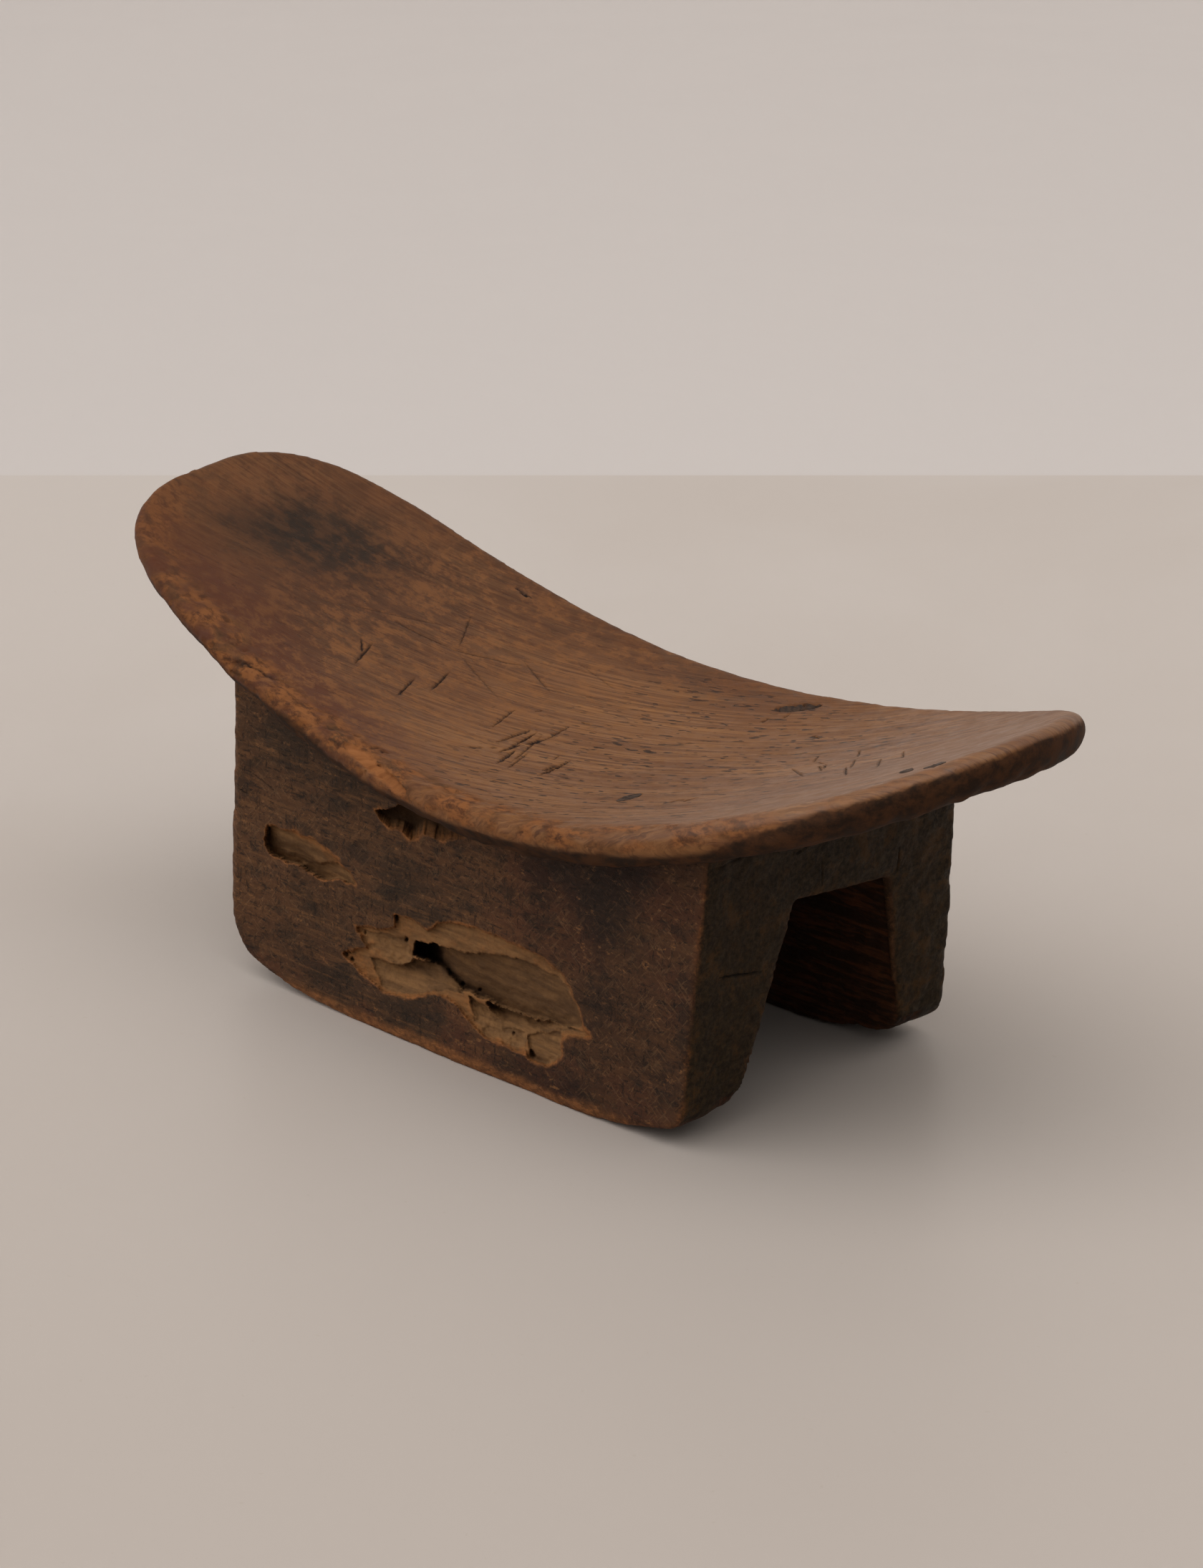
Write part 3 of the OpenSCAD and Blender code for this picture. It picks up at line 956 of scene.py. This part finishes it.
def saddle_material():
    r = Recipe("polished_wood")
    grain = (0, 0, GRAIN_TURN)
    bands = r.pattern((5, 75, 22), 5, 0.6, 0.4, grain)
    streaks = r.pattern((11, 420, 60), 6, 0.7, 0.25, grain)
    fibres = r.pattern((32, 950, 120), 3, 0.6, 0.1, grain)
    clouds = r.pattern((9, 14, 14), 5, 0.6, 0.4)
    blotches = r.pattern((90, 130, 130), 7, 0.72, 0.15)
    pores = r.span(r.pattern((150, 480, 200), 1, 0.5, 0.0, grain), 0.63, 0.66)

    # Mid-brown polished wood, with fine straight streaks
    wood = r.blend(r.span(streaks, 0.36, 0.62), tone(92, 58, 33), tone(128, 88, 53))
    wood = r.blend(r.span(bands, 0.4, 0.65, 0, 0.4), wood, tone(96, 61, 37))
    wood = r.blend(r.span(fibres, 0.53, 0.64, 0, 0.6), wood, tone(64, 38, 24))
    wood = r.blend(r.span(clouds, 0.4, 0.7, 0, 0.35), wood, tone(98, 60, 34))
    # Darker and redder patina towards the high end
    patina = r.blend(r.span(blotches, 0.42, 0.58), tone(57, 34, 22), tone(91, 56, 34))
    patina = r.blend(r.span(clouds, 0.42, 0.6, 0, 0.6), patina, tone(72, 42, 26))
    wood = r.blend(r.times(r.marked("aged"), 0.78), wood, patina)
    red = r.times(r.marked("red"), r.span(blotches, 0.38, 0.62, 0.9, 0.4))
    wood = r.blend(red, wood, tone(78, 40, 22))
    dark = r.times(r.marked("stain"), r.span(blotches, 0.34, 0.62, 1.0, 0.65))
    wood = r.blend(dark, wood, tone(38, 28, 21))
    scuffs = r.times(r.span(blotches, 0.48, 0.62), r.marked("scuff"))
    wood = r.blend(r.times(scuffs, 0.3), wood, tone(138, 91, 50))
    wood = r.blend(r.times(pores, r.marked("porous")), wood, tone(34, 19, 12))
    # The worn near rim: orange-brown, mottled with the darker old surface
    mottle = r.pattern((150, 260, 260), 6, 0.68, 0.3)
    islands = r.span(r.pattern((38, 70, 70), 5, 0.66, 0.5), 0.53, 0.6)
    orange = r.blend(r.span(mottle, 0.42, 0.6), tone(123, 77, 42), tone(86, 52, 30))
    orange = r.blend(r.span(mottle, 0.55, 0.68, 0, 0.7), orange, tone(52, 34, 22))
    orange = r.blend(r.times(islands, 0.6), orange, tone(64, 46, 31))
    wood = r.blend(r.marked("worn"), wood, orange)
    bare = r.blend(r.span(streaks, 0.35, 0.65), tone(118, 72, 38), tone(138, 88, 50))
    wood = r.blend(r.marked("raw"), wood, bare)
    # Painted shade on the underside and the nose's lower side, over the dark old surface
    old_and_shaded = r.blend(r.span(blotches, 0.38, 0.62), tone(38, 24, 14), tone(68, 42, 24))
    wood = r.blend(r.marked("under"), wood, old_and_shaded)
    # Painted shade in the knife cuts, scratches, split and pits
    wood = r.blend(r.marked("cut"), wood, tone(34, 20, 13))

    shine = r.span(blotches, 0.3, 0.7, 0.38, 0.54)
    shine = r.maths("ADD", shine, r.times(r.maths("MAXIMUM", r.marked("worn"), r.marked("under")), 0.3))
    height = r.maths("ADD", r.times(fibres, 0.5), r.times(pores, -1.0))
    height = r.maths("ADD", height, r.times(blotches, 0.8))
    return r.finish(wood, shine, height, 0.35, 0.0004, r.span(r.marked("gloss"), 0.0, 1.0, 0.12, 0.42))


def base_material():
    r = Recipe("aged_wood")
    streaks = r.pattern((20, 320, 320), 6, 0.65, 0.4)
    fibres = r.pattern((60, 900, 900), 4, 0.6)
    clouds = r.pattern((12, 16, 16), 6, 0.65, 0.6)
    patches = r.pattern((45, 80, 80), 7, 0.75, 0.2)
    specks = r.pattern((230, 420, 420), 5, 0.7, 0.3)
    along = r.pattern((170, 400, 640), 5, 0.7, 0.2)
    upright = r.pattern((640, 400, 170), 5, 0.7, 0.2)
    hair = r.span(r.pattern((1000, 1000, 120), 3, 0.6, 0.4, (0, 0.9, 0)), 0.58, 0.65)
    hair_back = r.span(r.pattern((1000, 1000, 120), 3, 0.6, 0.4, (0, -0.7, 0)), 0.58, 0.65)
    raw_grain = r.pattern((30, 300, 300), 5, 0.6, 0.5)

    # Near-black old surface, redder in places, checked with specks and light hair scratches
    wood = r.blend(r.span(clouds, 0.38, 0.62), tone(50, 36, 25), tone(78, 51, 32))
    wood = r.blend(r.span(streaks, 0.48, 0.64, 0, 0.6), wood, tone(98, 66, 40))
    ruddy = r.times(r.marked("red"), r.span(r.pattern((20, 26, 26), 4, 0.6, 0.3), 0.46, 0.6, 0.05, 0.5))
    wood = r.blend(ruddy, wood, tone(78, 42, 28))
    wood = r.blend(r.span(patches, 0.5, 0.6, 0, 0.6), wood, tone(36, 27, 20))
    dim = r.times(r.marked("dim"), r.span(clouds, 0.42, 0.58, 0.8, 0.35))
    wood = r.blend(dim, wood, tone(32, 21, 16))
    dots = r.maths("MAXIMUM", r.span(along, 0.55, 0.64), r.span(upright, 0.56, 0.65))
    wood = r.blend(r.times(dots, 0.75), wood, tone(26, 18, 13))
    light = r.times(r.span(specks, 0.43, 0.34), r.span(patches, 0.55, 0.4, 0.1, 0.6))
    wood = r.blend(light, wood, tone(130, 88, 52))
    scratched = r.times(r.maths("MAXIMUM", hair, hair_back), r.span(clouds, 0.35, 0.65, 0.06, 0.24))
    wood = r.blend(scratched, wood, tone(126, 94, 64))
    end_tone = r.blend(r.span(specks, 0.35, 0.65), tone(50, 38, 20), tone(24, 17, 9))
    end_tone = r.blend(r.span(patches, 0.51, 0.63, 0, 0.8), end_tone, tone(70, 47, 21))
    wood = r.blend(r.times(r.marked("end"), 0.92), wood, end_tone)
    # Darker, redder adzed wood inside the tunnel, partly painted shade under the bridge
    inner = r.blend(r.span(streaks, 0.45, 0.62), tone(34, 19, 9), tone(74, 40, 19))
    wood = r.blend(r.times(r.marked("tunnel"), 0.85), wood, inner)
    # Worn edges
    edge = r.blend(r.span(specks, 0.42, 0.6), tone(120, 74, 40), tone(86, 52, 31))
    wood = r.blend(r.times(r.marked("worn"), r.span(specks, 0.36, 0.6, 0.85, 0.2)), wood, edge)
    sole = r.times(r.marked("sole"), r.span(specks, 0.36, 0.62, 0.8, 0.3))
    wood = r.blend(sole, wood, tone(142, 90, 50))
    # Decayed wood inside the hollows, with an orange lip
    raw = r.blend(r.span(raw_grain, 0.35, 0.65), tone(100, 73, 48), tone(126, 92, 59))
    raw = r.blend(r.span(patches, 0.48, 0.66, 0, 0.5), raw, tone(82, 58, 38))
    # Painted shade: darker the deeper the hollow
    raw = r.blend(r.span(r.marked("deep"), 0.0, 0.7, 0, 0.8, smooth=False), raw, tone(54, 37, 25))
    # Painted shade in the hole's mouth and the crease
    raw = r.blend(r.times(r.marked("hole_and_crease_shade"), 0.85), raw, tone(34, 21, 11))
    wood = r.blend(r.marked("rot"), wood, raw)
    lip = r.times(r.marked("lip"), r.span(specks, 0.4, 0.6, 0.8, 0.3))
    wood = r.blend(lip, wood, tone(146, 92, 48))
    # Painted shade in the drying cracks
    wood = r.blend(r.marked("cut"), wood, tone(16, 10, 6))

    shine = r.span(specks, 0.3, 0.7, 0.5, 0.68)
    shine = r.maths("ADD", shine, r.times(r.marked("rot"), 0.32))
    height = r.maths("ADD", r.times(fibres, 0.5), r.times(hair, -0.35))
    height = r.maths("ADD", height, r.times(dots, -0.6))
    height = r.maths("ADD", height, r.times(specks, 1.0))
    return r.finish(wood, shine, height, 0.5, 0.0005, 0.12)


def knot_material():
    r = Recipe("knot_wood")
    grain = r.pattern((160, 900, 900), 5, 0.6, 0.6)
    spots = r.pattern((260, 300, 300), 4, 0.6)
    wood = r.blend(r.span(grain, 0.35, 0.65), tone(34, 22, 15), tone(64, 43, 28))
    wood = r.blend(r.span(spots, 0.5, 0.7, 0, 0.6), wood, tone(22, 14, 9))
    return r.finish(wood, r.span(spots, 0.3, 0.7, 0.45, 0.65), grain, 0.4, 0.0004, 0.2)


def floor_material():
    r = Recipe("painted_floor")
    clouds = r.pattern((2.2, 2.2, 2.2), 5, 0.55, 0.5)
    specks = r.span(r.pattern((260, 260, 260), 2, 0.5), 0.72, 0.76)
    paint = r.blend(r.span(clouds, 0.35, 0.65), tone(183, 174, 167), tone(188, 180, 174))
    parts = r.add("ShaderNodeSeparateXYZ", {"Vector": r.place})
    toward = level_back()
    along_x = r.times(parts.outputs["X"], toward.x)
    forward = r.maths("ADD", along_x, r.times(parts.outputs["Y"], toward.y))
    # Painted shade: the paint darkens towards the front
    paint = r.blend(r.span(forward, -0.75, 0.55), paint, tone(175, 166, 159))
    # Past a line behind the object the paint is paler
    paler = r.span(forward, -PALE_BEHIND - PALE_EDGE, -PALE_BEHIND + PALE_EDGE, 1, 0)
    paint = r.blend(paler, paint, tone(193, 187, 184))
    paint = r.blend(r.times(specks, 0.12), paint, tone(150, 132, 112))
    return r.finish(paint, r.span(clouds, 0.3, 0.7, 0.36, 0.46), clouds, 0.05, 0.002, 0.35)


def wall_material():
    r = Recipe("painted_wall")
    clouds = r.pattern((1.6, 1.6, 1.6), 4, 0.5, 0.3)
    paint = r.blend(r.span(clouds, 0.35, 0.65), tone(253, 248, 243), tone(250, 244, 238))
    return r.finish(paint, r.span(clouds, 0.3, 0.7, 0.8, 0.9), clouds, 0.05, 0.002, 0.2)


# ---- Stage, light and camera ----------------------------------------------

AZIMUTH, ELEVATION = math.radians(44.03), math.radians(20.9)
CAMERA_PLACE = (1.3415, -1.3807, 0.8440)
LENS, SENSOR = 103.27, 36.0
PALE_BEHIND, PALE_EDGE = 0.84, 0.001
WALL_BEHIND, WALL_HEIGHT = 3.0, 10.7
ROOM_HALF_WIDTH, FLOOR_LENGTH = 12, 9
DOME_AXIS = (-0.42, 0.0, 0.88)
DOME_EDGE = -0.15
ROOM_GLOW, DOME_GLOW = 0.19, 2.23


def view_axes():
    ca, sa, ce, se = math.cos(AZIMUTH), math.sin(AZIMUTH), math.cos(ELEVATION), math.sin(ELEVATION)
    back = Vector((sa * ce, -ca * ce, se))
    right = Vector((ca, sa, 0))
    return right, back.cross(right), back


def level_back():
    """The level direction from the object towards the camera."""
    _, _, back = view_axes()
    return Vector((back.x, back.y, 0)).normalized()


def add_camera():
    right, up, back = view_axes()
    data = bpy.data.cameras.new("camera")
    data.lens, data.sensor_width, data.clip_end = LENS, SENSOR, 50
    camera = bpy.data.objects.new("camera", data)
    turn = Matrix((right, up, back)).transposed()
    camera.matrix_world = Matrix.Translation(CAMERA_PLACE) @ turn.to_4x4()
    bpy.context.collection.objects.link(camera)
    bpy.context.scene.camera = camera


def add_sheet(name, corners, material):
    mesh = bpy.data.meshes.new(name)
    mesh.from_pydata(corners, [], [(0, 1, 2, 3)])
    mesh.update()
    mesh.materials.append(material)
    make_object(name, mesh)


def add_stage():
    right, _, _ = view_axes()
    toward = level_back()
    foot = -toward * WALL_BEHIND
    left, side = foot - right * ROOM_HALF_WIDTH, foot + right * ROOM_HALF_WIDTH
    height = Vector((0, 0, WALL_HEIGHT))
    reach = toward * FLOOR_LENGTH
    floor = [left, left + reach, side + reach, side]
    add_sheet("floor", floor, floor_material())
    add_sheet("wall", [left, side, side + height, left + height], wall_material())


def add_light():
    """A wide soft dome, brightest overhead and to the left, over a dim room."""
    world = bpy.data.worlds.new("studio")
    world.use_nodes = True
    nodes, links = world.node_tree.nodes, world.node_tree.links
    toward = nodes.new("ShaderNodeTexCoord")
    facing_lamp = nodes.new("ShaderNodeVectorMath")
    facing_lamp.operation = "DOT_PRODUCT"
    facing_lamp.inputs[1].default_value = Vector(DOME_AXIS).normalized()
    lift = nodes.new("ShaderNodeMapRange")
    lift.interpolation_type = "SMOOTHSTEP"
    lift.inputs["From Min"].default_value = DOME_EDGE
    lift.inputs["To Min"].default_value = ROOM_GLOW
    lift.inputs["To Max"].default_value = DOME_GLOW
    sky = nodes["Background"]
    sky.inputs["Color"].default_value = (1.0, 0.975, 0.95, 1)
    links.new(toward.outputs["Generated"], facing_lamp.inputs[0])
    links.new(facing_lamp.outputs["Value"], lift.inputs["Value"])
    links.new(lift.outputs[0], sky.inputs["Strength"])
    bpy.context.scene.world = world
    bpy.context.scene.view_settings.view_transform = "Standard"


# ---- Assembly -------------------------------------------------------------

STAIN_X, STAIN_Y = -206, 10


def tint_saddle(mesh):
    """Broad areas of colour on the seat."""
    points = coords(mesh)
    x, y, _ = points.T
    out = outwardness(x, y)
    wander = 12 * layered(points, (50, 30, 30), 151, 3)
    aged = smoothstep(-20, -170, x + wander) * smoothstep(1.0, 0.7, out)
    aged = np.maximum(aged, 0.8 * smoothstep(0, -100, x + wander) * smoothstep(0.45, 0.75, out))
    aged = np.maximum(aged, 0.8 * smoothstep(110, 0, x + wander) * smoothstep(0.55, 0.85, out) * (y > 0))
    red = smoothstep(20, -90, x + wander) * smoothstep(-20, -60, y + 0.5 * wander)
    red = red * smoothstep(0.5, 0.8, out)
    along = (x - STAIN_X + 0.6 * wander) / mix(66, 34, x < STAIN_X)
    across = (y - STAIN_Y - 0.35 * (x - STAIN_X) + 0.7 * wander) / 52
    spot = 1 - np.hypot(along, across)
    keep(mesh, "aged", aged)
    keep(mesh, "red", red)
    keep(mesh, "stain", smoothstep(0, 0.8, spot))
    keep(mesh, "scuff", smoothstep(-220, -120, x) * smoothstep(30, -60, x))
    keep(mesh, "gloss", smoothstep(40, 200, x + wander) * smoothstep(-6, -1, over_nose(points)))
    porous = mix(0.2, 0.9, smoothstep(-60, 20, x)) * smoothstep(190, 120, x)
    keep(mesh, "porous", porous * smoothstep(0.95, 0.8, out))


def tint_base(mesh):
    points = coords(mesh)
    x, y, z = points.T
    wander = 20 * layered(points, 50, 155, 3)
    red = smoothstep(-60, 100, x + wander) * mix(0.3, 1, smoothstep(30, 75, z + wander))
    keep(mesh, "red", np.maximum(red, smoothstep(45, 10, z)) * (y < -60))
    keep(mesh, "dim", smoothstep(20, 90, x + wander) * smoothstep(152, 142, x) * (y < -60))


def build():
    wood, old_and_shaded, knot = saddle_material(), base_material(), knot_material()

    saddle = even_skin(saddle_loft(), "saddle_skin", SADDLE_VOXEL)
    carve_saddle(saddle)
    tint_saddle(saddle)
    finish_piece("saddle_wood", saddle, ["saddle"], wood)

    base = even_skin(base_blank(), "base_skin", BASE_VOXEL)
    carve_base(base)
    tint_base(base)
    for name, mesh in split_base(base).items():
        finish_piece(name + "_wood", mesh, [name], old_and_shaded)

    height = seat_reader(saddle)
    for name in KNOTS:
        finish_piece(name + "_wood", knot_mesh(name, height), [name], knot)


build()
add_stage()
add_light()
add_camera()
